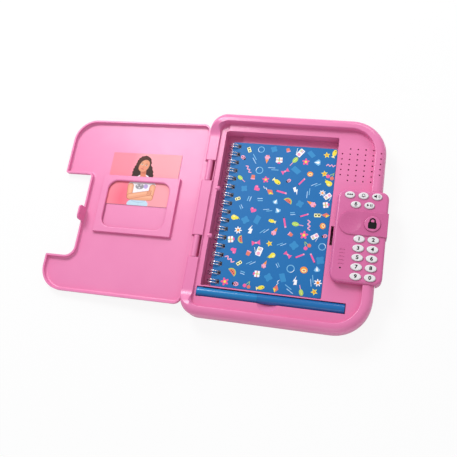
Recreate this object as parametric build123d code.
"""Electronic secret diary: a shallow moulded case with a code keypad on its right edge, a lid on its
left edge, and inside it a wire-bound notebook, a felt pen and a photo pocket.

Everything is in millimetres. The origin is the centre of the case's underside, +X points from the
hinge towards the keypad, +Y away from the user and +Z up. The lid lies open, its free edge on the table.
The case is sized from what it holds: the notebook, the pen, the keys and the cells.
"""
import math
import os

from build123d import *

os.makedirs("parts", exist_ok=True)

# ---------------------------------------------------------------- notebook
book_width = 103.5
book_length = 148.0
board_cover = 0.8
page_thickness = 6.2
page_inset = 0.6
page_spine_inset = 1.1      # lets the cover turn past the sheets' corner
leaf_gap = 0.05
book_corner = 2.0
loop_pitch = 8.7
loop_from_corner = 4.0      # least distance of a pair of wires from the notebook's ends
loop_radius = 6.0
loop_wire = 0.9
loop_twin_gap = 2.6
loop_turn_radius = 1.2
loop_opening = 38.0         # degrees left open under the notebook
loop_hole_from_edge = 6.3
loop_hole_width = 3.4
loop_hole_length = 4.4
loop_hole_round = 0.8
loop_hole_gap = 0.35        # between the wire and the end of its hole

# ---------------------------------------------------------------- notebook well
well_from_hinge_side = 5.7
well_from_far_side = 8.3
well_corner = 1.5
tub_wall = 1.5
tub_floor = 1.3
tub_gap = 0.4               # between the well's lowest floor and the case's floor
book_from_free_wall = 0.4
book_from_near_wall = 1.0
book_below_deck = 3.65
finger_gap = 10.5           # at the notebook's far edge
binding_room = 8.7          # between the notebook's spine edge and the well's wall
binding_clearance = 0.45    # under the wire
channel_width = 15.7
nub_reach = 3.3
nub_radius = 2.4
nub_depth = 3.2
nub_from_far = 61.4
nub_from_near = 49.1

# ---------------------------------------------------------------- case
rim_height = 6.0            # raised rim around the panel that the lid covers
rim_hinge = 10.8            # rim widths on the four sides
rim_free = 10.4
rim_far = 9.6
rim_near = 8.4
panel_radius_free = 24.6    # corners of the panel away from the hinge
panel_radius_hinge = 8.6
split_height = 9.5          # where the two halves of the case meet
split_gap = 0.1
case_wall = 2.2
deck_thickness = 2.0
floor_thickness = 1.8
rim_round = 6.4             # outer shoulder of the rim
rim_inner_round = 0.9
foot_round = 5.0            # bottom edge of the case
rim_hollow_wall = 2.6

# ---------------------------------------------------------------- pen and its groove
pen_length = 136.7
pen_visible_barrel = 58.0
pen_barrel_diameter = 8.5
pen_cap_diameter = 9.2
pen_neck_diameter = 7.0
pen_neck_length = 34.0
pen_tip_length = 8.0
pen_tube_wall = 1.0
pen_cap_wall = 0.9
pen_plug_length = 4.0
pen_edge = 0.5
nib_diameter = 2.6
nib_length = 3.0
pen_fit = 0.03
pen_joint_gap = 0.2         # between the barrel's step and the cap's mouth
pen_tip_step = 0.6          # the tip cone is this much slimmer than the neck
pen_tip_wall = 0.8          # wall of the cone round the nib
pen_bore_from_shoulder = 6.0
pen_cap_step = 0.4          # the cap's bore narrows by this much past the shoulder
reservoir_end_gap = 0.5
reservoir_gap = 0.1
groove_clearance = 0.2
groove_end_gap = 0.5
groove_from_hinge_side = 2.8
groove_from_free_side = 12.0    # least distance
groove_from_near_side = 10.1
groove_rib = 1.1            # wall between groove and well
groove_depth = 8.0
scoop_from_groove_end = 68.0
scoop_radius = 10.6         # where the thumb scoop meets the deck
scoop_depth = 4.6
scoop_offset = 1.2

# ---------------------------------------------------------------- hinge
hinge_from_side = 5.2
hinge_below_deck = 1.5
knuckle_radius = 2.8
pin_diameter = 2.5
pin_running_gap = 0.05
pin_held_gap = 0.02
pin_end_gap = 0.2
arm_length = 21.4
arm_from_far = 62.2
arm_from_near = 66.1
arm_side_gap = 0.4
pin_engagement = 7.0
band_height = 1.0           # the rim's height beside the hinge
band_edge = 1.2
band_from_near = 14.9       # where the rim starts to rise again, from the panel's ends
band_from_far = 15.7
band_rise = 16.5            # length of that rise
cutout_from_panel = 0.2
cutout_floor_above_split = 1.2
beam_past_panel = 1.2

# ---------------------------------------------------------------- lid
lid_gap = 0.6               # between lid and rim, all round
swing_gap = 0.08            # cut beyond the lid where it swings past the rim
lid_wall = 1.8
lid_plate = 1.9
lid_above_deck = 0.3
lid_round = 2.0
lid_inner_round = 2.0
lid_radius_hinge = 8.0
lid_radius_free = 24.0
notch_gap = 0.9             # between lid and keypad housing
notch_radius_far = 4.0
notch_radius_near = 10.0
notch_tip_radius = 1.5
arm_thickness = 3.0
arm_overlap = 0.8

# ---------------------------------------------------------------- latch
hook_length = 15.0
hook_thickness = 1.6
hook_set_in = 0.3
hook_drop = 10.0            # below the deck
hook_corner = 4.0
hook_from_far = 44.0        # from the keypad housing's far side
hook_pocket_length = 6.0
hook_pocket_height = 4.8
hook_pocket_depth = 1.0
slot_end_gap = 1.85
slot_gap = 0.45
bolt_width = 5.2
bolt_height = 3.8
bolt_length = 13.0
bolt_edge = 0.5
bolt_collar = 1.6
bolt_collar_thickness = 1.5
bolt_running_gap = 0.08
bolt_below_deck = 5.6
bolt_tip_gap = 0.5
bolt_end_gap = 0.15         # left in the hook's pocket when the lid is locked
guide_from_tip = 2.0
guide_length = 3.0
guide_wall = 1.8
plunger_bare_length = 6.0
magnet_thickness = 2.0
magnet_width = 8.0
solenoid_length = 16.0
solenoid_width = 12.0
solenoid_height = 6.9
solenoid_frame = 1.0
solenoid_gap = 0.05
plunger_radius = 1.3

# ---------------------------------------------------------------- keys
key_travel = 1.1
key_proud = 1.5
key_gap = 0.2
key_flange = 0.5
key_flange_thickness = 1.0
key_rest_gap = 0.1
key_round = 0.9
key_wall_gap = 0.3          # between a key's flange and the housing's wall
number_key_length = 10.2
number_key_width = 6.6
number_rows = 5
number_pitch_x = 12.5
number_pitch_y = 8.7
number_from_free_side = 5.7
function_key_length = 9.2
function_key_width = 6.4
function_pitch_x = 12.2
function_pitch_y = 9.1
function_from_sides = 6.3

# ---------------------------------------------------------------- keypad housing
housing_from_well = 5.0     # least distance
housing_past_case = 5.9
housing_from_far = 63.7
housing_height = 8.0        # above the deck
housing_wall = 1.6
housing_round = 2.4
housing_radius_well = 8.0
housing_radius_free = 7.0
housing_wing_drop = 5.2     # the overhang comes down this far below the deck
housing_side_gap = 0.4
undercut_depth = 1.3        # the housing's foot stands in by this much
undercut_height = 2.6
rim_end_gap = 0.2
strap_width = 22.6
strap_thickness = 1.3
strap_side_thickness = 0.8
strap_set_in = 2.9
strap_side_drop = 4.2
strap_edge = 0.5
strap_key_gap = 0.2         # to the first row of number keys
strap_function_gap = 3.1    # to the second row of function keys
dish_radius = 9.4
dish_depth = 0.7
lock_button_diameter = 14.6
lock_button_height = 1.3
lock_button_from_free = 12.9
mic_hole_diameter = 1.6
mic_from_well_side = 8.9
mic_from_near_side = 12.4
wave_count = 5
wave_pitch = 3.3
wave_first = 4.6
wave_radius = 4.2
wave_width = 0.7
wave_height = 0.35
wave_half_angle = 34.0

# ---------------------------------------------------------------- circuit board and its parts
board_gap = 0.6
board_thickness = 1.4
board_standoff = 0.8
standoff_radius = 2.0
standoff_inset = 5.0
membrane_thickness = 0.6
membrane_inset = 0.2
membrane_gap = 0.5          # around the parts that stand on the board
dome_radius = 1.8
dome_top_radius = 1.4
dome_gap = 0.05
chip_length = 9.0
chip_width = 7.0
chip_height = 1.4
chip_legs = 4               # on each side
chip_leg_reach = 1.0
chip_leg_width = 0.5
chip_leg_pitch = 1.7
chip_from_well_side = 12.0
chip_from_far_side = 22.0
mic_diameter = 6.0
mic_height = 2.4

# ---------------------------------------------------------------- speaker and grille
grille_columns = 6
grille_rows = 7
grille_pitch_x = 7.22
grille_pitch_y = 5.45
grille_hole = 1.55
grille_from_free = 4.7      # from the case's free side
grille_from_far = 19.3
speaker_diameter = 36.0
speaker_flange = 1.2
speaker_flange_width = 3.0
speaker_depth = 5.4
speaker_magnet_diameter = 16.0
speaker_magnet_height = 2.2
speaker_ring_wall = 1.5
speaker_gap = 0.1
cone_thickness = 0.6
cone_dish = 3.1
cone_rim_gap = 0.3
cone_rim_inset = 4.7        # the cone's rim to the flange's edge
cone_rim_width = 0.9
coil_former_radius = 4.0

# ---------------------------------------------------------------- batteries
cell_diameter = 10.5
cell_length = 44.5
cell_edge = 0.4
cell_tip_diameter = 3.8
cell_tip_length = 0.8
cell_pitch = 10.9
cell_count = 3
bay_wall = 1.3
bay_gap = 0.3
bay_from_groove = 0.5
bay_from_latch = 2.0        # least distance
bay_from_well = 4.6
contact_space = 1.6
contact_thickness = 0.3
contact_width = 7.0
contact_pad = 0.8
contact_gap = 0.1
door_gap = 0.25
door_ledge = 1.4
door_thickness = 1.7
door_recess_gap = 0.1
door_border = 1.6
door_border_height = 1.4
door_screw_diameter = 2.2
door_screw_head = 4.2
door_screw_length = 5.0
door_screw_recess = 0.15
door_post_height = 8.2
door_tab = 7.0

# ---------------------------------------------------------------- case screws
screw_diameter = 2.6
screw_head_diameter = 5.0
screw_head_height = 2.0
screw_length = 12.0
screw_recess = 1.5
screw_hole_gap = 0.25
screw_thread_gap = 0.01
post_radius = 3.4
screw_from_hinge_side = 5.7
screw_from_hinge_ends = 27.3
screw_from_free_side = 13.7
screw_from_far_side = 19.3
screw_from_near_side = 18.8
screw_from_housing = 4.5

# ---------------------------------------------------------------- photo card and its pocket
card_width = 76.5
card_length = 57.5
card_thickness = 0.5
card_gap = 0.15
card_side_gap = 0.95
card_end_gap = 0.4
card_pulled_out = 28.0      # how far it stands out of the pocket in the pose shown
frame_past_card = 1.2
frame_from_hinge = 22.9     # from the lid's hinge side
frame_from_near = 63.9      # from the lid's near side
frame_sheet = 1.8
pocket_depth = 1.6
pocket_side = 2.8
window_in_card_side = 4.5   # the window's edges stand in from the card's
window_in_card_far = 4.7
window_in_card_near = 2.8
window_offset = 1.0
window_radius = 10.0
window_edge = 1.3
frame_edge = 0.6

# ================================================================ derived places
book_stack = 2 * board_cover + page_thickness + 3 * leaf_gap
channel_floor = floor_thickness + tub_gap + tub_floor
spine_z = channel_floor + binding_clearance + loop_wire / 2 + loop_radius
block_floor = spine_z - (book_stack + leaf_gap) / 2
deck_height = block_floor + book_stack + book_below_deck
deck_under = deck_height - deck_thickness
crest = deck_height + rim_height

well_width = binding_room + book_width + book_from_free_wall
well_length = book_from_near_wall + book_length + finger_gap
groove_width = pen_cap_diameter + 2 * groove_clearance
groove_length = pen_length + 2 * groove_end_gap
bay_length = 2 * contact_space + cell_length + cell_tip_length
housing_length = 2 * (function_from_sides + function_key_length / 2 + function_pitch_x)
function_rows_depth = housing_wall + key_wall_gap + key_flange + function_key_width + function_pitch_y
number_rows_depth = (
    housing_wall + key_wall_gap + key_flange + number_key_width + (number_rows - 1) * number_pitch_y
)
housing_depth = function_rows_depth + strap_function_gap + strap_width + strap_key_gap + number_rows_depth

# The panel is as wide and as long as its fuller row: the well with the keypad or with the pen, or the
# pen with the cells, the latch and the speaker.
panel_width = max(
    well_from_hinge_side + well_width + housing_from_well + housing_length - housing_past_case - rim_free,
    groove_from_hinge_side + groove_length + groove_from_free_side,
)
groove_row = groove_from_near_side + groove_width
panel_length = max(
    groove_row + groove_rib + well_length + well_from_far_side,
    groove_row + tub_wall + bay_from_groove + 2 * bay_wall + bay_length + bay_from_latch
    + solenoid_width / 2 + hook_from_far + housing_from_far,
)
case_width = rim_hinge + panel_width + rim_free
case_depth = rim_near + panel_length + rim_far
case_left, case_right = -case_width / 2, case_width / 2
case_near, case_far = -case_depth / 2, case_depth / 2
panel_left, panel_right = case_left + rim_hinge, case_right - rim_free
panel_near, panel_far = case_near + rim_near, case_far - rim_far
case_radius_free = panel_radius_free + rim_far
case_radius_hinge = panel_radius_hinge + rim_near

groove_left = panel_left + groove_from_hinge_side
groove_right = groove_left + groove_length
groove_y = panel_near + groove_from_near_side + groove_width / 2
pen_z = deck_height - groove_depth + groove_width / 2
pen_left = groove_left + groove_end_gap

well_left = panel_left + well_from_hinge_side
well_right = well_left + well_width
well_near = groove_y + groove_width / 2 + groove_rib
well_far = well_near + well_length
nub_ys = (well_far - nub_from_far, well_near + nub_from_near)

hinge_x = case_left + hinge_from_side
hinge_z = deck_height - hinge_below_deck
arm_ys = (case_far - arm_from_far, case_near + arm_from_near)
cutout_floor = split_height + cutout_floor_above_split
cutout_right = panel_left - cutout_from_panel
beam_right = panel_left + beam_past_panel

housing_right = case_right + housing_past_case
housing_left = housing_right - housing_length
housing_far = panel_far - housing_from_far
housing_near = housing_far - housing_depth
housing_top = deck_height + housing_height
housing_under = housing_top - housing_wall
wing_bottom = deck_height - housing_wing_drop
foot_wall = undercut_depth + housing_wall

function_y = housing_far - housing_wall - key_wall_gap - key_flange - function_key_width / 2
function_x = housing_left + function_from_sides + function_key_length / 2
second_x = function_x + function_pitch_x / 2
strap_far = function_y - function_pitch_y - function_key_width / 2 - strap_function_gap
strap_near = strap_far - strap_width
strap_centre_y = (strap_far + strap_near) / 2
number_x = housing_right - number_from_free_side - number_key_length / 2 - number_pitch_x
number_y = strap_near - strap_key_gap - number_key_width / 2
number_places = {
    str((index + 1) % 10): (number_x + (index % 2) * number_pitch_x, number_y - (index // 2) * number_pitch_y)
    for index in range(2 * number_rows)
}
function_places = {
    "menu": (function_x, function_y),
    "bell": (function_x + function_pitch_x, function_y),
    "volume": (function_x + 2 * function_pitch_x, function_y),
    "record": (second_x, function_y - function_pitch_y),
    "play": (second_x + function_pitch_x, function_y - function_pitch_y),
}
lock_x = housing_right - lock_button_from_free
mic_x, mic_y = housing_left + mic_from_well_side, housing_near + mic_from_near_side

lid_left, lid_right = panel_left + lid_gap, panel_right - lid_gap
lid_near, lid_far = panel_near + lid_gap, panel_far - lid_gap
lid_bottom, lid_top = deck_height + lid_above_deck, crest
lid_inner = lid_top - lid_plate
notch_x = housing_left - notch_gap
notch_near, notch_far = housing_near - notch_gap, housing_far + notch_gap
lid_corner_near = min(lid_radius_free, notch_near - lid_near - 2 * notch_tip_radius)

hook_y = housing_far - hook_from_far
hook_right = notch_x - hook_set_in
hook_left = hook_right - hook_thickness
slot_left, slot_right = hook_left - slot_gap, hook_right + slot_gap
slot_length = hook_length + 2 * slot_end_gap
bolt_z = deck_height - bolt_below_deck
bolt_tip = slot_right + bolt_tip_gap
bolt_travel = bolt_tip_gap + slot_gap + hook_pocket_depth - bolt_end_gap
collar_x = bolt_tip + guide_from_tip + guide_length + bolt_travel
solenoid_x = bolt_tip + bolt_length + plunger_bare_length

board_margin = foot_wall + board_gap
board_left, board_right = housing_left + board_margin, housing_right - board_margin
board_near, board_far = housing_near + board_margin, housing_far - board_margin
board_under = deck_height + board_standoff
board_top = board_under + board_thickness
membrane_top = board_top + membrane_thickness
key_flange_top = housing_under - key_rest_gap
key_bottom = key_flange_top - key_flange_thickness
dome_top = key_bottom - dome_gap
foot_ledge = deck_height + undercut_height + housing_wall

grille_x = case_right - grille_from_free - grille_pitch_x * (grille_columns - 1)
grille_y = panel_far - grille_from_far
speaker_x = grille_x + grille_pitch_x * (grille_columns - 1) / 2
speaker_y = grille_y - grille_pitch_y * (grille_rows - 1) / 2

bay_near_y = groove_y + groove_width / 2 + tub_wall + bay_from_groove + bay_wall
bay_far_y = bay_near_y + bay_length
cell_x = well_right + tub_wall + bay_from_well + cell_diameter / 2
cell_near = bay_near_y + contact_space
bay_left = cell_x - cell_diameter / 2 - bay_gap
bay_right = cell_x + cell_pitch * (cell_count - 1) + cell_diameter / 2 + bay_gap
cell_z = floor_thickness + bay_gap + cell_diameter / 2
bay_top = cell_z + cell_diameter / 2 + bay_gap

screw_seat = screw_recess + screw_head_height
screw_top = screw_seat + screw_length
screw_left, screw_right = case_left + screw_from_hinge_side, case_right - screw_from_free_side
screw_xys = (
    (screw_left, case_far - screw_from_hinge_ends),
    (screw_left, (arm_ys[0] + arm_ys[1]) / 2),
    (screw_left, case_near + screw_from_hinge_ends),
    (screw_right, case_far - screw_from_far_side),
    (screw_right, housing_far + screw_from_housing),
    (screw_right, case_near + screw_from_near_side),
)
door_screw_x = (bay_left + bay_right) / 2
door_screw_y = bay_near_y - door_ledge - door_tab / 2

book_right = well_right - book_from_free_wall
book_left = book_right - book_width
book_near = well_near + book_from_near_wall
book_far = book_near + book_length
book_y = (book_near + book_far) / 2
back_z = block_floor + leaf_gap
pages_z = back_z + board_cover + leaf_gap
front_z = pages_z + page_thickness + leaf_gap
book_top = front_z + board_cover
loop_count = math.floor((book_length - 2 * loop_from_corner) / loop_pitch) + 1
hole_x = book_left + loop_hole_from_edge
spine_x = hole_x - math.sqrt(loop_radius**2 - (book_top - board_cover / 2 - spine_z) ** 2)

frame_width = card_width + 2 * (card_side_gap + pocket_side)
frame_length = pocket_side + card_end_gap + card_length + frame_past_card
frame_left, frame_near = lid_left + frame_from_hinge, lid_near + frame_from_near
frame_right, frame_far = frame_left + frame_width, frame_near + frame_length
card_left, card_near = frame_left + pocket_side + card_side_gap, frame_near + pocket_side + card_end_gap

# The lid droops until the round of its outer free edge meets the table.
lid_reach = lid_right - lid_round - hinge_x
lid_rise = lid_top - lid_round - hinge_z
lid_droop = math.degrees(
    math.asin((hinge_z - lid_round) / math.hypot(lid_reach, lid_rise)) - math.atan2(lid_rise, lid_reach)
)


# ================================================================ small helpers
def block(x0, x1, y0, y1, z0, z1):
    """A box between two opposite corners."""
    return Pos(x0, y0, z0) * Box(x1 - x0, y1 - y0, z1 - z0, align=(Align.MIN, Align.MIN, Align.MIN))


def slab(face, z0, z1):
    """A flat outline drawn at z = 0, raised into a solid between two heights."""
    return extrude(Pos(0, 0, z0) * face, z1 - z0, dir=(0, 0, 1))


def rounded(corners, radii):
    """A closed outline with its own radius at each corner."""
    return make_face(FilletPolyline(*corners, radius=radii, close=True))


def rectangle(x0, x1, y0, y1, radius_left, radius_right):
    """A rectangle whose left pair and right pair of corners are rounded."""
    corners = [(x0, y0), (x1, y0), (x1, y1), (x0, y1)]
    return rounded(corners, [radius_left, radius_right, radius_right, radius_left])


def post(x, y, radius, z0, z1):
    """An upright cylinder."""
    return Pos(x, y, z0) * Cylinder(radius, z1 - z0, align=(Align.CENTER, Align.CENTER, Align.MIN))


def rod_x(x0, x1, y, z, radius):
    """A cylinder along X."""
    return Pos(x0, y, z) * Rot(0, 90, 0) * Cylinder(
        radius, x1 - x0, align=(Align.CENTER, Align.CENTER, Align.MIN)
    )


def rod_y(y0, y1, x, z, radius):
    """A cylinder along Y."""
    return Pos(x, y0, z) * Rot(-90, 0, 0) * Cylinder(
        radius, y1 - y0, align=(Align.CENTER, Align.CENTER, Align.MIN)
    )


def level_edges(solid, z):
    """The edges that lie flat at one height."""
    return solid.edges().filter_by_position(Axis.Z, z - 0.01, z + 0.01)


def case_outline(inset=0.0):
    """The case seen from above, drawn in by a wall."""
    return rectangle(
        case_left + inset, case_right - inset, case_near + inset, case_far - inset,
        case_radius_hinge - inset, case_radius_free - inset,
    )


def panel_outline(outset=0.0):
    """The flat panel inside the rim, drawn out by a wall."""
    return rectangle(
        panel_left - outset, panel_right + outset, panel_near - outset, panel_far + outset,
        panel_radius_hinge + outset, panel_radius_free + outset,
    )


def oval(x, y, length, width, grow=0.0):
    """A key's outline, an ellipse that may be drawn out by a clearance."""
    return Pos(x, y) * Ellipse(length / 2 + grow, width / 2 + grow)


def opened(solid):
    """Turn a piece of the closed lid to the place where it lies open."""
    return solid.rotate(Axis((hinge_x, 0, hinge_z), (0, 1, 0)), -(180 + lid_droop))


# ================================================================ upper case with deck, well and groove
def well_cut():
    """The space in the well: deep beside the hinge for the binding, shallower under the sheets."""
    outline = rectangle(well_left, well_right, well_near, well_far, well_corner, well_corner)
    shallow = slab(outline, block_floor, crest)
    deep = block(well_left, well_left + channel_width, well_near, well_far, channel_floor, block_floor + 1)
    return shallow + (deep & slab(outline, channel_floor, crest))


def well_tub():
    """The walls and stepped floor that hang under the deck around the well."""
    x0, x1 = well_left - tub_wall, well_right + tub_wall
    y0, y1 = well_near - tub_wall, well_far + tub_wall
    deep_right = well_left + channel_width + tub_wall
    shallow = block(x0, x1, y0, y1, block_floor - tub_floor, deck_height)
    return shallow + block(x0, deep_right, y0, y1, channel_floor - tub_floor, deck_height)


def groove_cut(grow=0.0):
    """The pen's groove, round at the bottom and open at the deck."""
    x0, x1 = groove_left - grow, groove_right + grow
    half = groove_width / 2 + grow
    top = deck_height + (0 if grow else rim_height)
    return rod_x(x0, x1, groove_y, pen_z, half) + block(x0, x1, groove_y - half, groove_y + half, pen_z, top)


def scoop_ball(grow=0.0):
    """A ball that leaves a round thumb scoop on the near side of the groove."""
    radius = (scoop_radius**2 + scoop_depth**2) / (2 * scoop_depth)
    x = groove_left + scoop_from_groove_end
    ball = Pos(x, groove_y - scoop_offset, deck_height + radius - scoop_depth) * Sphere(radius + grow)
    reach = 2 * radius
    near_half = block(
        x - reach, x + reach, groove_y - reach, groove_y, deck_height - 2 * scoop_depth,
        deck_height if grow else crest,
    )
    return ball & near_half


def hinge_side_cut():
    """What is taken off the rim beside the hinge, easing back up to full height at both corners."""
    low = deck_height + band_height
    near_low, far_low = panel_near + band_from_near, panel_far - band_from_far
    near_high, far_high = near_low - band_rise, far_low + band_rise
    profile = [
        Line((near_high, crest + 1), (near_high, crest)),
        Spline((near_high, crest), (near_low, low), tangents=[(1, 0), (1, 0)]),
        Line((near_low, low), (far_low, low)),
        Spline((far_low, low), (far_high, crest), tangents=[(1, 0), (1, 0)]),
        Line((far_high, crest), (far_high, crest + 1)),
        Line((far_high, crest + 1), (near_high, crest + 1)),
    ]
    face = Plane(origin=(case_left - 1, 0, 0), x_dir=(0, 1, 0), z_dir=(1, 0, 0)) * make_face(profile)
    cut = extrude(face, rim_hinge + 1, dir=(1, 0, 0))
    chamfered = Pos(case_left, (near_low + far_low) / 2, low) * Rot(0, 45, 0) * Box(
        band_edge * math.sqrt(2), far_low - near_low, band_edge * math.sqrt(2)
    )
    return cut + chamfered


def lid_swing_cut():
    """The lid's outline turned about the hinge, which keeps the rim beside it out of the lid's way."""
    beside = block(hinge_x, panel_left + panel_radius_hinge, case_near, case_far, 0, 2 * crest)
    outline = Pos(0, 0, hinge_z) * lid_outline(-swing_gap) & beside
    return revolve(outline, Axis((hinge_x, 0, hinge_z), (0, -1, 0)), 90)


def hinge_cuts():
    """Two cut-outs for the lid's arms, and a blind bore through the walls beside each."""
    cuts = []
    for y in arm_ys:
        half = arm_length / 2 + arm_side_gap
        cuts.append(block(case_left - 1, cutout_right, y - half, y + half, cutout_floor, crest))
        cuts.append(block(cutout_right - 1, panel_left + 1, y - half, y + half, deck_height, crest))
        reach = half + pin_engagement
        cuts.append(rod_y(y - reach, y + reach, hinge_x, hinge_z, pin_diameter / 2 + pin_held_gap))
    return cuts


def grille_holes():
    """Rows of round holes, with the corners of the pattern left out."""
    holes = []
    for row in range(grille_rows):
        for column in range(grille_columns):
            end_row = row in (0, grille_rows - 1)
            end_column = column in (0, grille_columns - 1)
            if end_row and end_column:
                continue
            x = grille_x + column * grille_pitch_x
            y = grille_y - row * grille_pitch_y
            holes.append(post(x, y, grille_hole / 2, deck_under - 1, crest + 1))
    return holes


def rim_hollow():
    """The space inside the rim, left out along the hinge and under the keypad housing."""
    hollow = slab(case_outline(rim_hollow_wall), deck_under - 1, crest - rim_hollow_wall)
    hollow -= slab(panel_outline(case_wall), deck_under - 2, crest)
    hollow -= block(case_left, panel_left + panel_radius_hinge, case_near, case_far, deck_under - 2, crest)
    return hollow - block(
        panel_right - panel_radius_free, case_right, housing_near - case_wall, housing_far + case_wall,
        deck_under - 2, crest,
    )


def bolt_guide():
    """A pierced block under the deck that the latch bolt slides in."""
    x0 = bolt_tip + guide_from_tip
    half = bolt_width / 2 + guide_wall
    low = bolt_z - bolt_height / 2 - guide_wall
    hole = bolt_passage(x0 - 1, x0 + guide_length + 1)
    return block(x0, x0 + guide_length, hook_y - half, hook_y + half, low, deck_height) - hole


def bolt_passage(x0, x1):
    """The bolt's section plus its running gap."""
    half, high = bolt_width / 2 + bolt_running_gap, bolt_height / 2 + bolt_running_gap
    return block(x0, x1, hook_y - half, hook_y + half, bolt_z - high, bolt_z + high)


def deck_case():
    """The upper half of the case."""
    body = slab(case_outline(), split_height + split_gap, crest)
    body = fillet(level_edges(body, crest), rim_round)
    body -= slab(panel_outline(), deck_height, crest + 1)
    inner_wire = body.faces().sort_by(Axis.Z)[-1].inner_wires()[0]
    body = fillet(inner_wire.edges(), rim_inner_round)
    inside = slab(case_outline(case_wall), 0, deck_under)
    body -= inside - block(case_left, beam_right, case_near, case_far, 0, crest)
    body -= rim_hollow()
    body -= block(
        panel_right - 1, case_right + 1, housing_near - rim_end_gap, housing_far + rim_end_gap,
        deck_height, crest + 1,
    )
    body += well_tub()
    body += groove_cut(tub_wall) & block(
        case_left, case_right, groove_y - groove_width, well_near, 0, deck_height
    )
    body += scoop_ball(tub_wall)
    for x, y in screw_xys:
        if x > beam_right:
            body += post(x, y, post_radius, split_height + split_gap, deck_height)
    ring_bore = speaker_diameter / 2 + speaker_gap
    ring = post(speaker_x, speaker_y, ring_bore + speaker_ring_wall, deck_under - speaker_depth, deck_height)
    ring -= post(speaker_x, speaker_y, ring_bore, 0, deck_under)
    body += ring & slab(case_outline(case_wall), 0, deck_height)
    body += bolt_guide()
    for x in (board_left + standoff_inset, board_right - standoff_inset - rim_free / 2):
        for y in (board_near + standoff_inset, board_far - standoff_inset):
            body += post(x, y, standoff_radius, deck_under, board_under)
    body -= well_cut()
    body -= groove_cut()
    body -= scoop_ball()
    body -= block(slot_left, slot_right, hook_y - slot_length / 2, hook_y + slot_length / 2, 0, crest)
    body -= hinge_side_cut()
    body -= lid_swing_cut()
    for cut in hinge_cuts() + grille_holes():
        body -= cut
    for x, y in screw_xys:
        body -= post(x, y, screw_diameter / 2 + screw_thread_gap, 0, screw_top + 0.5)
    for y in nub_ys:
        z, tip_x = deck_height - nub_depth, well_left + nub_reach - nub_radius
        body += rod_x(well_left - tub_wall, tip_x, y, z, nub_radius) + Pos(tip_x, y, z) * Sphere(nub_radius)
    return body


# ================================================================ lower case, batteries, screws
def bay_space():
    """The battery bay, open downwards."""
    return block(bay_left, bay_right, bay_near_y, bay_far_y, -1, bay_top)


def door_outline(shrink=0.0):
    """The battery door: the bay's mouth plus its ledges, and a tab for the screw."""
    x0, x1 = bay_left - door_ledge + shrink, bay_right + door_ledge - shrink
    y0, y1 = bay_near_y - door_ledge + shrink, bay_far_y + door_ledge - shrink
    middle = (bay_left + bay_right) / 2
    half = door_tab / 2 - shrink
    return (x0, x1, y0, y1), (middle - half, middle + half, y0 - door_tab, y0 + 1)


def door_solid(shrink, z0, z1):
    """The door's shape between two heights."""
    plate, tab = door_outline(shrink)
    return block(*plate, z0, z1) + block(*tab, z0, z1)


def lower_case():
    """The lower half of the case, with the battery bay and the screw posts."""
    full = fillet(level_edges(slab(case_outline(), 0, split_height), 0), foot_round)
    body = full - slab(case_outline(case_wall), floor_thickness, split_height + 1)
    body += block(
        bay_left - bay_wall, bay_right + bay_wall, bay_near_y - bay_wall, bay_far_y + bay_wall, 0,
        bay_top + bay_wall,
    )
    body += door_solid(-door_border, 0, door_thickness + door_recess_gap + door_border_height)
    body += post(door_screw_x, door_screw_y, post_radius, 0, door_post_height)
    for x, y in screw_xys:
        body += post(x, y, post_radius, 0, split_height) & full
    body -= bay_space()
    body -= door_solid(0, -1, door_thickness + door_recess_gap)
    body -= post(
        door_screw_x, door_screw_y, door_screw_diameter / 2 + screw_thread_gap, 0,
        door_post_height - floor_thickness / 2,
    )
    for x, y in screw_xys:
        body -= post(x, y, screw_diameter / 2 + screw_hole_gap, -1, split_height + 1)
        body -= post(x, y, screw_head_diameter / 2 + screw_hole_gap, -1, screw_seat)
    return body


def battery_door():
    """The door, with the hole for its screw."""
    hole = door_screw_diameter / 2 + screw_hole_gap
    head_room = door_screw_head / 2 + screw_hole_gap
    door = door_solid(door_gap, 0, door_thickness)
    door -= post(door_screw_x, door_screw_y, hole, -1, door_thickness + 1)
    return door - post(door_screw_x, door_screw_y, head_room, -1, door_thickness / 2)


def pan_screw(x, y, z0, radius, head_radius, head_height, length):
    """A screw from below, head first, with a cross recess."""
    screw = post(x, y, head_radius, z0, z0 + head_height) + post(x, y, radius, z0, z0 + head_height + length)
    arm = head_radius * 0.7
    cross = Pos(x, y, z0) * (Box(2 * arm, arm / 2, head_height) + Box(arm / 2, 2 * arm, head_height))
    return screw - cross


def battery_cell(index):
    """One cylindrical cell along Y; every second one is turned round."""
    x = cell_x + index * cell_pitch
    far_tip = index % 2 == 0
    y0 = cell_near if far_tip else cell_near + cell_tip_length
    body = rod_y(y0, y0 + cell_length, x, cell_z, cell_diameter / 2)
    body = fillet(body.edges(), cell_edge)
    tip_y0 = y0 + cell_length if far_tip else y0 - cell_tip_length
    return body + rod_y(tip_y0, tip_y0 + cell_tip_length, x, cell_z, cell_tip_diameter / 2)


def battery_contacts():
    """A plate at each end of each cell, held by the bay's walls, with a pad that meets the cell."""
    pieces = []
    half = contact_width / 2
    reach = contact_space - contact_gap
    for index in range(cell_count):
        x = cell_x + index * cell_pitch
        for y_wall, way in ((bay_near_y, 1), (bay_far_y, -1)):
            sheet = sorted((y_wall, y_wall + way * contact_thickness))
            pad = sorted((y_wall, y_wall + way * reach))
            piece = block(x - half, x + half, *sheet, floor_thickness + bay_gap, cell_z + half)
            pieces.append(piece + rod_y(*pad, x, cell_z, contact_pad))
    return pieces


# ================================================================ hinge pins and lid
def hinge_pins():
    """One straight pin through each arm, held by the walls beside it."""
    reach = arm_length / 2 + arm_side_gap + pin_engagement - pin_end_gap
    return [rod_y(y - reach, y + reach, hinge_x, hinge_z, pin_diameter / 2) for y in arm_ys]


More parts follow.
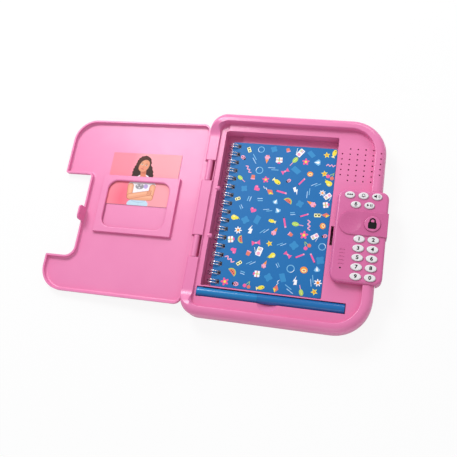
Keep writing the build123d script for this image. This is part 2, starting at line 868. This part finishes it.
def lid_outline(inset=0.0):
    """The lid seen from above with its notch for the keypad, drawn in by a wall."""
    x0, x1 = lid_left + inset, lid_right - inset
    y0, y1 = lid_near + inset, lid_far - inset
    notch0, notch1, step = notch_near - inset, notch_far + inset, notch_x - inset
    corners = [
        (x0, y0), (x1, y0), (x1, notch0), (step, notch0), (step, notch1), (x1, notch1), (x1, y1), (x0, y1),
    ]
    tip = max(notch_tip_radius - inset, 0.3)
    radii = [
        lid_radius_hinge - inset, lid_corner_near - inset, tip, notch_radius_near + inset,
        notch_radius_far + inset, tip, lid_radius_free - inset, lid_radius_hinge - inset,
    ]
    return rounded(corners, radii)


def lid_arm(y):
    """A hinge arm: a knuckle round the pin, joined to the lid's edge by a flat tongue."""
    half = arm_length / 2
    low, reach = lid_bottom + 0.1 - hinge_z, lid_left + arm_overlap - hinge_x
    high = low + arm_thickness
    root = knuckle_radius * 0.86
    side = knuckle_radius * 0.5
    corners = [
        (reach, low), (cutout_right - hinge_x - 1.5, low), (root, -side), (-root, side), (root * 0.6, high),
        (reach, high),
    ]
    profile = make_face(Polyline(*corners, close=True)) + Circle(knuckle_radius)
    place = Plane(origin=(hinge_x, y + half, hinge_z), x_dir=(1, 0, 0), z_dir=(0, -1, 0))
    arm = extrude(place * profile, arm_length)
    return arm - rod_y(y - half - 1, y + half + 1, hinge_x, hinge_z, pin_diameter / 2 + pin_running_gap)


def lid_hook():
    """The tab that drops through the slot in the deck, with the pocket that the bolt enters."""
    y0, y1 = hook_y - hook_length / 2, hook_y + hook_length / 2
    low = deck_height - hook_drop
    high = lid_inner + lid_plate / 2
    face = rounded([(y0, low), (y1, low), (y1, high), (y0, high)], [hook_corner, hook_corner, 0.2, 0.2])
    place = Plane(origin=(hook_left, 0, 0), x_dir=(0, 1, 0), z_dir=(1, 0, 0))
    hook = extrude(place * face, hook_thickness)
    half, rise = hook_pocket_length / 2, hook_pocket_height / 2
    pocket_x = hook_right - hook_pocket_depth
    return hook - block(pocket_x, hook_right + 1, hook_y - half, hook_y + half, bolt_z - rise, bolt_z + rise)


def lid_shell():
    """The lid as a shallow tray, closed, with its arms and hook."""
    lid = slab(lid_outline(), lid_bottom, lid_top)
    lid = fillet(level_edges(lid, lid_top), lid_round)
    space = slab(lid_outline(lid_wall), lid_bottom - 1, lid_inner)
    lid -= fillet(level_edges(space, lid_inner), lid_inner_round)
    for y in arm_ys:
        lid += lid_arm(y)
    lid += lid_hook()
    return opened(lid)


def photo_frame():
    """The pocket on the inner face of the lid: a sheet with a window on a three-sided spacer."""
    low = lid_inner - pocket_depth - frame_sheet
    frame = block(frame_left, frame_right, frame_near, frame_far, low, lid_inner)
    frame -= block(
        frame_left + pocket_side, frame_right - pocket_side, frame_near + pocket_side, frame_far + 1,
        low + frame_sheet, lid_inner + 1,
    )
    frame = fillet(level_edges(frame, low), frame_edge)
    x0 = card_left + window_in_card_side + window_offset
    x1 = card_left + card_width - window_in_card_side + window_offset
    y0, y1 = card_near + window_in_card_near, card_near + card_length - window_in_card_far
    frame -= slab(rectangle(x0, x1, y0, y1, window_radius, window_radius), low - 1, low + frame_sheet + 1)
    inner_wire = frame.faces().sort_by(Axis.Z)[0].inner_wires()[0]
    return opened(fillet(inner_wire.edges(), window_edge))


def photo_card():
    """The photo, part way into its pocket."""
    y0, high = card_near + card_pulled_out, lid_inner - card_gap
    card = block(card_left, card_left + card_width, y0, y0 + card_length, high - card_thickness, high)
    return opened(card)


# ================================================================ keypad housing
def housing_outline(inset=0.0):
    """The keypad housing seen from above."""
    return rectangle(
        housing_left + inset, housing_right - inset, housing_near + inset, housing_far - inset,
        housing_radius_well - inset, housing_radius_free - inset,
    )


def strap_outline():
    """The strap across the housing: round at the well side, square at the free side."""
    x0, x1 = housing_left + strap_set_in, housing_right + strap_side_thickness
    y0, y1 = strap_centre_y - strap_width / 2, strap_centre_y + strap_width / 2
    round_end = strap_width / 2 - 0.05
    square_end = strap_edge + 0.2
    return rounded([(x0, y0), (x1, y0), (x1, y1), (x0, y1)], [round_end, square_end, square_end, round_end])


def sound_waves():
    """Raised arcs above the microphone hole."""
    arcs = []
    for index in range(wave_count):
        centre_y = mic_y + wave_first + index * wave_pitch - wave_radius
        arc = CenterArc((mic_x, centre_y), wave_radius, 90 - wave_half_angle, 2 * wave_half_angle)
        half = Pos(0, 0, housing_top - 0.2) * trace(arc, wave_width)
        arcs.append(extrude(half, wave_height + 0.2, dir=(0, 0, 1)))
    return arcs


def keypad_housing():
    """The raised housing of the keys on its set-in foot, with a closed wing over the case's free side."""
    body = slab(housing_outline(), wing_bottom, housing_top)
    body = fillet(level_edges(body, housing_top), housing_round)
    side = case_right + housing_side_gap
    body -= block(housing_left - 1, side, housing_near - 1, housing_far + 1, wing_bottom - 1, deck_height)
    under = block(
        housing_left - 1, side, housing_near - 1, housing_far + 1, deck_height - 1,
        deck_height + undercut_height,
    )
    body -= under - slab(housing_outline(undercut_depth), deck_height - 2, crest)
    body -= slab(housing_outline(foot_wall), deck_height - 1, foot_ledge)
    body -= slab(housing_outline(housing_wall), foot_ledge, housing_under)
    wing_hollow = slab(housing_outline(housing_wall), wing_bottom + housing_wall, foot_ledge)
    body -= wing_hollow & block(side - 1, case_width, housing_near, housing_far, 0, crest)
    for arc in sound_waves():
        body += arc
    holes = [oval(x, y, number_key_length, number_key_width, key_gap) for x, y in number_places.values()]
    for x, y in function_places.values():
        holes.append(oval(x, y, function_key_length, function_key_width, key_gap))
    holes.append(Pos(lock_x, strap_centre_y) * Circle(lock_button_diameter / 2 + key_gap))
    holes.append(Pos(mic_x, mic_y) * Circle(mic_hole_diameter / 2))
    for hole in holes:
        body -= slab(hole, housing_under - 1, housing_top + 1)
    return body


def lock_strap():
    """The strap, with a shallow thumb dish, a hole for the lock button and a leg down the free side."""
    top = housing_top + strap_thickness
    strap = slab(strap_outline(), housing_top, top)
    strap = chamfer(level_edges(strap, top), strap_edge)
    y0, y1 = strap_centre_y - strap_width / 2, strap_centre_y + strap_width / 2
    leg = block(
        housing_right, housing_right + strap_side_thickness, y0, y1, deck_height - strap_side_drop,
        housing_top + strap_thickness / 2,
    )
    x1, z1 = housing_right - housing_round, housing_top - housing_round
    corner = block(x1, housing_right, y0, y1, z1, housing_top)
    corner -= rod_y(y0 - 1, y1 + 1, x1, z1, housing_round)
    strap += leg
    strap += corner
    ball_radius = (dish_radius**2 + dish_depth**2) / (2 * dish_depth)
    dish_x = housing_left + strap_set_in + strap_width / 2
    strap -= Pos(dish_x, strap_centre_y, top + ball_radius - dish_depth) * Sphere(ball_radius)
    return strap - post(lock_x, strap_centre_y, lock_button_diameter / 2 + key_gap, housing_top - 1, top + 1)


def key(outline, flange, top, crown):
    """A key: a cap through the housing, and a flange under it that keeps it in."""
    cap = slab(outline, key_bottom, top)
    cap = fillet(level_edges(cap, top), crown)
    return cap + slab(flange, key_bottom, key_flange_top)


def oval_key(place, length, width):
    """One oval key at its place."""
    cap, flange = oval(*place, length, width), oval(*place, length, width, key_flange)
    return key(cap, flange, housing_top + key_proud, key_round)


def lock_button():
    """The round button in the strap."""
    top = housing_top + strap_thickness + lock_button_height
    radius = lock_button_diameter / 2
    centre = Pos(lock_x, strap_centre_y)
    return key(centre * Circle(radius), centre * Circle(radius + key_flange), top, key_round)


def key_centres():
    """Where each dome of the membrane stands."""
    return list(number_places.values()) + list(function_places.values()) + [(lock_x, strap_centre_y)]


def key_membrane():
    """The rubber sheet on the circuit board, with a hollow dome under each key."""
    outline = board_outline(membrane_inset)
    sheet = slab(outline, board_top, membrane_top)
    for x, y in key_centres():
        sheet += Pos(x, y, membrane_top - 0.1) * Cone(
            dome_radius, dome_top_radius, dome_top - membrane_top + 0.1,
            align=(Align.CENTER, Align.CENTER, Align.MIN),
        )
        sheet -= post(x, y, dome_top_radius / 2, board_top - 1, dome_top - membrane_thickness)
    return sheet - membrane_clearances()


def membrane_clearances():
    """Openings in the membrane for the parts that stand on the board."""
    chip_x, chip_y = chip_place()
    half_x, half_y = chip_length / 2 + membrane_gap, chip_width / 2 + membrane_gap
    high = membrane_top + 1
    around_chip = block(chip_x - half_x, chip_x + half_x, chip_y - half_y, chip_y + half_y, 0, high)
    return around_chip + post(mic_x, mic_y, mic_diameter / 2 + membrane_gap, 0, high)


def chip_place():
    """The centre of the voice chip on the board."""
    return housing_left + chip_from_well_side, housing_far - chip_from_far_side


def board_outline(inset=0.0):
    """The board seen from above, drawn in by a margin."""
    return housing_outline(board_margin + inset)


def circuit_board():
    """The board under the keys."""
    return slab(board_outline(), board_under, board_top)


def voice_chip():
    """The chip and its two rows of legs."""
    x, y = chip_place()
    half_x, half_y = chip_length / 2, chip_width / 2
    top = board_top + chip_height
    body_x = half_x - chip_leg_reach
    chip = block(x - body_x, x + body_x, y - half_y, y + half_y, board_top, top)
    leg_top = board_top + chip_leg_width
    for index in range(chip_legs):
        leg_y = y + (index - (chip_legs - 1) / 2) * chip_leg_pitch - chip_leg_width / 2
        chip += block(x - half_x, x + half_x, leg_y, leg_y + chip_leg_width, board_top, leg_top)
    return chip


def microphone():
    """The microphone capsule, right under its hole."""
    return post(mic_x, mic_y, mic_diameter / 2, board_top, board_top + mic_height)


# ================================================================ speaker
def speaker_frame():
    """A flange under the grille and a basket behind the cone."""
    low, high = deck_under - speaker_depth, deck_under
    radius = speaker_diameter / 2
    frame = post(speaker_x, speaker_y, radius, high - speaker_flange, high)
    frame += Pos(speaker_x, speaker_y, low) * Cone(
        speaker_magnet_diameter / 2 + 1, radius - speaker_flange_width / 2, high - speaker_flange - low,
        align=(Align.CENTER, Align.CENTER, Align.MIN),
    )
    hollow = Pos(speaker_x, speaker_y, low + speaker_flange) * Cone(
        speaker_magnet_diameter / 2, radius - speaker_flange_width, high - low - speaker_flange,
        align=(Align.CENTER, Align.CENTER, Align.MIN),
    )
    return frame - hollow


def speaker_cone():
    """The dished paper cone and its dust cap, glued inside the flange."""
    high = deck_under - cone_rim_gap
    outer = speaker_diameter / 2 - cone_rim_inset
    rim = outer - cone_rim_width
    low = high - cone_dish
    under = high - cone_thickness
    profile = Polyline(
        (coil_former_radius, low), (rim, under), (outer, under), (outer, high), (rim, high),
        (coil_former_radius, low + cone_thickness), (0, low + 2 * cone_thickness), (0, low),
        close=True,
    )
    face = Plane(origin=(speaker_x, speaker_y, 0), x_dir=(1, 0, 0), z_dir=(0, -1, 0)) * make_face(profile)
    return revolve(face, Axis((speaker_x, speaker_y, 0), (0, 0, 1)), 360)


def speaker_magnet():
    """The magnet on the back of the basket."""
    top = deck_under - speaker_depth
    return post(speaker_x, speaker_y, speaker_magnet_diameter / 2, top - speaker_magnet_height, top)


# ================================================================ latch
def latch_bolt():
    """The bolt, drawn back, with a collar that stops it and a plunger into the coil."""
    half, high = bolt_width / 2, bolt_height / 2
    bolt = block(bolt_tip, bolt_tip + bolt_length, hook_y - half, hook_y + half, bolt_z - high, bolt_z + high)
    bolt = chamfer(bolt.faces().sort_by(Axis.X)[0].edges(), bolt_edge)
    bolt += block(
        collar_x, collar_x + bolt_collar_thickness, hook_y - half - bolt_collar, hook_y + half + bolt_collar,
        bolt_z - high, bolt_z + high,
    )
    plunger_end = solenoid_x + solenoid_length - 2 * solenoid_frame
    return bolt + rod_x(bolt_tip + bolt_length - 0.1, plunger_end, hook_y, bolt_z, plunger_radius)


def latch_magnet():
    """The magnet behind the coil, which holds the bolt where the coil has put it."""
    x0 = solenoid_x + solenoid_length
    half = magnet_width / 2
    return block(
        x0, x0 + magnet_thickness, hook_y - half, hook_y + half, bolt_z - solenoid_height / 2,
        bolt_z + solenoid_height / 2,
    )


def solenoid_box(inset):
    """The coil's space, between the ends of the steel frame."""
    half = solenoid_width / 2 - inset
    high = solenoid_height / 2 - inset
    return solenoid_x + inset, solenoid_x + solenoid_length - inset, half, high


def solenoid_frame_piece():
    """A steel bracket round the coil, fixed under the deck."""
    x0, x1, half, high = solenoid_box(0)
    frame = block(x0, x1, hook_y - half, hook_y + half, bolt_z - high, deck_under)
    x2, x3, _, inner_high = solenoid_box(solenoid_frame)
    frame -= block(x2, x3, hook_y - half - 1, hook_y + half + 1, bolt_z - inner_high, bolt_z + inner_high)
    return frame - rod_x(x0 - 1, x3 - 1, hook_y, bolt_z, plunger_radius + bolt_running_gap)


def solenoid_coil():
    """The wound coil, as one sleeve of copper."""
    x0, x1, _, high = solenoid_box(solenoid_frame)
    radius = high - solenoid_gap
    return rod_x(x0, x1, hook_y, bolt_z, radius) - rod_x(
        x0 - 1, x1 + 1, hook_y, bolt_z, plunger_radius + bolt_running_gap
    )


# ================================================================ notebook
def loop_ys():
    """The middle of each pair of wires along the spine."""
    first = book_y + loop_pitch * (loop_count - 1) / 2
    return [first - index * loop_pitch for index in range(loop_count)]


def leaf(z0, z1, inset=0.0, spine_inset=0.0):
    """One board or block of sheets, with a hole for each pair of wires."""
    outline = rectangle(
        book_left + spine_inset, book_right - inset, book_near + inset, book_far - inset,
        book_corner, book_corner,
    )
    sheet = slab(outline, z0, z1)
    inner_reach = spine_x + loop_radius + loop_wire / 2 + loop_hole_gap
    hole = RectangleRounded(loop_hole_width, loop_hole_length, loop_hole_round)
    places = [Pos(inner_reach - loop_hole_width / 2, y) for y in loop_ys()]
    return sheet - slab(Sketch() + [place * hole for place in places], z0 - 1, z1 + 1)


def spine_point(angle, y, lift=0.0):
    """A point of the binding at an angle round the spine, moved on along the tangent by a lift."""
    turn = math.radians(angle)
    x = spine_x + loop_radius * math.cos(turn) - lift * math.sin(turn)
    z = spine_z + loop_radius * math.sin(turn) + lift * math.cos(turn)
    return Vector(x, y, z)


def hoop(start, end, y):
    """A wire's way round the spine, as two arcs of under half a turn."""
    middle = (start + end) / 2
    return [
        ThreePointArc(spine_point(a, y), spine_point((a + b) / 2, y), spine_point(b, y))
        for a, b in ((start, middle), (middle, end))
    ]


def binding_path():
    """The comb of twin wires: up round the spine, a half turn, back down, and on to the next pair."""
    start, end = -90 + loop_opening / 2, 270 - loop_opening / 2
    half_gap = loop_twin_gap / 2
    corner = loop_turn_radius
    bend = corner * math.sqrt(0.5)
    edges = []
    ys = loop_ys()
    for index, y in enumerate(ys):
        edges += hoop(end, start, y + half_gap)
        edges.append(ThreePointArc(
            spine_point(start, y + half_gap), spine_point(start, y, -half_gap),
            spine_point(start, y - half_gap),
        ))
        edges += hoop(start, end, y - half_gap)
        if index == len(ys) - 1:
            continue
        y0, y1 = y - half_gap, ys[index + 1] + half_gap
        edges.append(ThreePointArc(
            spine_point(end, y0), spine_point(end, y0 - corner + bend, bend),
            spine_point(end, y0 - corner, corner),
        ))
        edges.append(Line(spine_point(end, y0 - corner, corner), spine_point(end, y1 + corner, corner)))
        edges.append(ThreePointArc(
            spine_point(end, y1 + corner, corner), spine_point(end, y1 + corner - bend, bend),
            spine_point(end, y1),
        ))
    return edges


def least_self_gap(edges, wire):
    """The least gap between parts of the wire that aren't neighbours along it, on sampled points."""
    points, places, run = [], [], 0.0
    for edge in edges:
        count = max(2, round(edge.length / 0.6))
        for step in range(count):
            points.append(edge.position_at(step / count))
            places.append(run + edge.length * step / count)
        run += edge.length
    least = math.inf
    for i, (point, place) in enumerate(zip(points, places)):
        for other, far in zip(points[i + 1:], places[i + 1:]):
            if far - place > math.pi * loop_turn_radius and abs(point.Y - other.Y) < loop_pitch:
                least = min(least, (point - other).length)
    return least - wire


def notebook_binding():
    """One unbroken wire swept along the comb."""
    edges = binding_path()
    print(f"notebook_binding least gap to itself {least_self_gap(edges, loop_wire):.2f} mm")
    path = Wire(edges)
    start = path.position_at(0)
    section = Plane(origin=start, z_dir=path.tangent_at(0)) * Circle(loop_wire / 2)
    return sweep(section, path=path)


# ================================================================ pen
pen_right = pen_left + pen_length
pen_joint = pen_left + pen_visible_barrel
pen_shoulder = pen_joint + pen_neck_length
pen_tip = pen_shoulder + pen_tip_length
pen_bore = pen_neck_diameter / 2 - pen_tube_wall
pen_bore_end = pen_shoulder - pen_bore_from_shoulder


def pen_rod(x0, x1, radius):
    """A cylinder on the pen's axis."""
    return rod_x(x0, x1, groove_y, pen_z, radius)


def pen_cone(x, start, end, length):
    """A cone on the pen's axis."""
    place = Pos(x, groove_y, pen_z) * Rot(0, 90, 0)
    return place * Cone(start, end, length, align=(Align.CENTER, Align.CENTER, Align.MIN))


def pen_barrel():
    """The barrel's tube, stepped down where the cap slides over it."""
    neck = pen_neck_diameter / 2
    barrel = pen_rod(pen_left + pen_plug_length / 2, pen_joint - pen_joint_gap, pen_barrel_diameter / 2)
    barrel += pen_rod(pen_joint - 2 * pen_joint_gap, pen_shoulder, neck)
    barrel += pen_cone(pen_shoulder, neck - pen_tip_step, nib_diameter / 2 + pen_tip_wall, pen_tip_length)
    barrel -= pen_rod(pen_left, pen_tip + 1, nib_diameter / 2 + pen_fit)
    return barrel - pen_rod(pen_left, pen_bore_end, pen_bore)


def pen_reservoir():
    """The ink rod that fills the barrel and ends in the nib."""
    start = pen_left + pen_plug_length + reservoir_end_gap
    rod = pen_rod(start, pen_bore_end - reservoir_end_gap, pen_bore - reservoir_gap)
    return rod + pen_rod(pen_bore_end - 1, pen_tip, nib_diameter / 2)


def pen_nib():
    """The fibre tip."""
    return pen_cone(pen_tip, nib_diameter / 2, nib_diameter / 5, nib_length)


def pen_end_plug():
    """The plug that closes the barrel."""
    plug = pen_rod(pen_left, pen_left + pen_plug_length / 2, pen_barrel_diameter / 2)
    plug = chamfer(plug.faces().sort_by(Axis.X)[0].edges(), pen_edge)
    return plug + pen_rod(pen_left + pen_plug_length / 2, pen_left + pen_plug_length, pen_bore - pen_fit)


def pen_cap():
    """The cap over the barrel's front half."""
    cap = pen_rod(pen_joint, pen_right, pen_cap_diameter / 2)
    cap = chamfer(cap.faces().sort_by(Axis.X)[-1].edges(), pen_edge)
    bore = pen_rod(pen_joint - 1, pen_shoulder, pen_neck_diameter / 2 + pen_fit)
    front = pen_rod(pen_joint, pen_right - 2 * pen_cap_wall, pen_neck_diameter / 2 - pen_cap_step)
    return cap - bore - front


# ================================================================ all nodes
nodes = {
    "deck_case": deck_case(),
    "lower_case": lower_case(),
    "battery_door": battery_door(),
    "battery_door_screw": pan_screw(
        door_screw_x, door_screw_y, door_screw_recess, door_screw_diameter / 2, door_screw_head / 2,
        door_thickness / 2 - door_screw_recess, door_screw_length,
    ),
    "battery_contacts": battery_contacts(),
    "case_screws": [
        pan_screw(
            x, y, screw_recess, screw_diameter / 2, screw_head_diameter / 2, screw_head_height, screw_length
        )
        for x, y in screw_xys
    ],
    "hinge_pins": hinge_pins(),
    "lid_shell": lid_shell(),
    "photo_frame": photo_frame(),
    "photo_card": photo_card(),
    "keypad_housing": keypad_housing(),
    "lock_strap": lock_strap(),
    "lock_button": lock_button(),
    "key_membrane": key_membrane(),
    "circuit_board": circuit_board(),
    "voice_chip": voice_chip(),
    "microphone": microphone(),
    "speaker_frame": speaker_frame(),
    "speaker_cone": speaker_cone(),
    "speaker_magnet": speaker_magnet(),
    "latch_bolt": latch_bolt(),
    "latch_magnet": latch_magnet(),
    "solenoid_frame": solenoid_frame_piece(),
    "solenoid_coil": solenoid_coil(),
    "notebook_front_cover": leaf(front_z, book_top),
    "notebook_pages": leaf(pages_z, pages_z + page_thickness, page_inset, page_spine_inset),
    "notebook_back_cover": leaf(back_z, back_z + board_cover),
    "notebook_binding": notebook_binding(),
    "pen_barrel": pen_barrel(),
    "pen_reservoir": pen_reservoir(),
    "pen_nib": pen_nib(),
    "pen_end_plug": pen_end_plug(),
    "pen_cap": pen_cap(),
}
for index in range(cell_count):
    nodes[f"battery_cell_{index + 1}"] = battery_cell(index)
for digit, place in number_places.items():
    nodes[f"number_key_{digit}"] = oval_key(place, number_key_length, number_key_width)
for name, place in function_places.items():
    nodes[f"{name}_key"] = oval_key(place, function_key_length, function_key_width)

for name, solids in nodes.items():
    shape = Compound(children=solids) if isinstance(solids, list) else solids
    export_step(shape, f"parts/{name}.step")

print(f"case {case_width} x {case_depth}, droop {lid_droop:.3f} deg")
print(f"hinge axis x {hinge_x:.2f} z {hinge_z:.2f}, spine axis x {spine_x:.3f} z {spine_z:.3f}")
